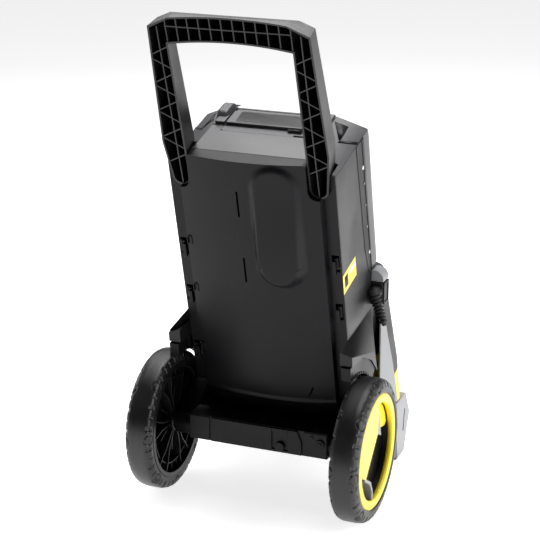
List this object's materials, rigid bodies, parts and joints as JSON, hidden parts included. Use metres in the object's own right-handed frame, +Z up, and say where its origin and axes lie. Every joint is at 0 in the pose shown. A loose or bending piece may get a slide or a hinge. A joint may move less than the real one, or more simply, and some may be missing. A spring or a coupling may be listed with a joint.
{
  "type": "pressure washer",
  "caption": "Upright electric pressure washer on two large spoked wheels, with a leaning housing, ribbed push handle, front feet, hinged top lid and front hose couplings.",
  "frame": {"origin": "on the floor, under the middle of the outer box", "axes": "+Z up, the front with the couplings faces -Y, the wheel axle lies along X, +X is the machine's left side"},
  "size_m": [0.4246, 0.4659, 0.8787],
  "materials": {
    "black_cover": "fine grained black moulding",
    "handle_black": "fine grained black moulding, smooth skin",
    "satin_cover": "satin black moulding",
    "grey_trim": "satin dark grey moulding",
    "yellow_cover": "satin yellow moulding",
    "yellow_cap": "satin yellow moulding",
    "tyre_black": "hard tread rubber",
    "rim_black": "black moulding",
    "steel": "turned steel",
    "screw_white": "bright zinc plated",
    "soft_rubber": "soft black rubber",
    "label_film": "plain printed film",
    "knob_yellow": "satin yellow moulding",
    "brass": "turned brass",
    "motor_iron": "lacquered steel laminations",
    "cast_alloy": "die cast alloy",
    "inner_plastic": "grey moulding",
    "hose_black": "smooth black hose"
  },
  "bodies": {
    "chassis": {"axle": "steel", "axle_bracket_left": "black_cover", "axle_bracket_right": "black_cover", "axle_clip_left": "steel", "axle_clip_right": "steel", "back_shell": "black_cover", "base_frame": "black_cover", "detergent_tank": "inner_plastic", "fender_left": "satin_cover", "fender_right": "satin_cover", "foot_pad_left": "soft_rubber", "foot_pad_right": "soft_rubber", "front_cover": "satin_cover", "front_cover_lower": "yellow_cover", "front_foot_left": "grey_trim", "front_foot_right": "grey_trim", "gland_box": "satin_cover", "gland_dome": "grey_trim", "handle": "handle_black", "handle_catch_left": "black_cover", "handle_catch_right": "black_cover", "inlet_coupling": "brass", "lid_pin": "steel", "motor_bearing": "steel", "motor_stator": "motor_iron", "outlet_coupling": "brass", "pressure_pipe": "hose_black", "pump_body": "cast_alloy", "pump_head": "cast_alloy", "run_capacitor": "inner_plastic", "side_flank_left": "grey_trim", "side_flank_right": "grey_trim", "side_panel_left": "satin_cover", "side_panel_right": "satin_cover", "side_screws_left": "screw_white", "side_screws_right": "screw_white", "strain_relief": "soft_rubber", "switch_body": "inner_plastic", "terminal_box": "inner_plastic", "top_cover": "black_cover", "warning_label": "label_film", "water_hose": "hose_black"},
    "left_wheel": {"tyre_left": "tyre_black", "rim_left": "rim_black", "wheel_cap_left": "yellow_cap"},
    "right_wheel": {"tyre_right": "tyre_black", "rim_right": "rim_black", "wheel_cap_right": "yellow_cap"},
    "lid": {"lid": "black_cover"},
    "power_knob": {"power_knob": "knob_yellow"},
    "dosing_knob": {"dosing_knob": "knob_yellow"},
    "tank_cap": {"tank_cap": "inner_plastic"},
    "release_button": {"release_button": "knob_yellow"},
    "motor_rotor": {"motor_rotor": "motor_iron", "motor_shaft": "steel", "cooling_fan": "inner_plastic", "wobble_plate": "cast_alloy"},
    "piston_1": {"piston_1": "steel"},
    "piston_2": {"piston_2": "steel"},
    "piston_3": {"piston_3": "steel"}
  },
  "joints": [
    {"name": "left_wheel_spin", "type": "hinge", "parent": "chassis", "child": "left_wheel", "pos_m": [0.186, 0.079, 0.125], "axis": [1, 0, 0], "continuous": true},
    {"name": "right_wheel_spin", "type": "hinge", "parent": "chassis", "child": "right_wheel", "pos_m": [-0.186, 0.079, 0.125], "axis": [1, 0, 0], "continuous": true},
    {"name": "lid_open", "type": "hinge", "parent": "chassis", "child": "lid", "pos_m": [0, -0.00114, 0.67239], "axis": [1, 0, 0], "range_deg": [0, 85]},
    {"name": "power_turn", "type": "hinge", "parent": "chassis", "child": "power_knob", "pos_m": [0, -0.11956, 0.57154], "axis": [0, -0.9703, 0.2419], "range_deg": [0, 90]},
    {"name": "dosing_turn", "type": "hinge", "parent": "chassis", "child": "dosing_knob", "pos_m": [0, -0.13649, 0.50362], "axis": [0, -0.9703, 0.2419], "range_deg": [0, 270]},
    {"name": "tank_cap_turn", "type": "hinge", "parent": "chassis", "child": "tank_cap", "pos_m": [0.04, 0.02931, 0.64985], "axis": [0, 0.2419, 0.9703], "range_deg": [0, 90]},
    {"name": "button_press", "type": "slide", "parent": "chassis", "child": "release_button", "axis": [0, 0, -1], "range_m": [0, 0.004], "stiffness_N_per_m": 400, "springref_m": -0.001},
    {"name": "motor_spin", "type": "hinge", "parent": "chassis", "child": "motor_rotor", "pos_m": [-0.05, 0.08178, 0.52134], "axis": [0, 0.2419, 0.9703], "continuous": true},
    {"name": "piston_1_stroke", "type": "slide", "parent": "chassis", "child": "piston_1", "axis": [0, -0.2419, -0.9703], "range_m": [-0.003, 0.005], "stiffness_N_per_m": 2000, "springref_m": -0.0004},
    {"name": "piston_2_stroke", "type": "slide", "parent": "chassis", "child": "piston_2", "axis": [0, -0.2419, -0.9703], "range_m": [-0.003, 0.005], "stiffness_N_per_m": 2000, "springref_m": -0.0004},
    {"name": "piston_3_stroke", "type": "slide", "parent": "chassis", "child": "piston_3", "axis": [0, -0.2419, -0.9703], "range_m": [-0.003, 0.005], "stiffness_N_per_m": 2000, "springref_m": -0.0004}
  ]
}
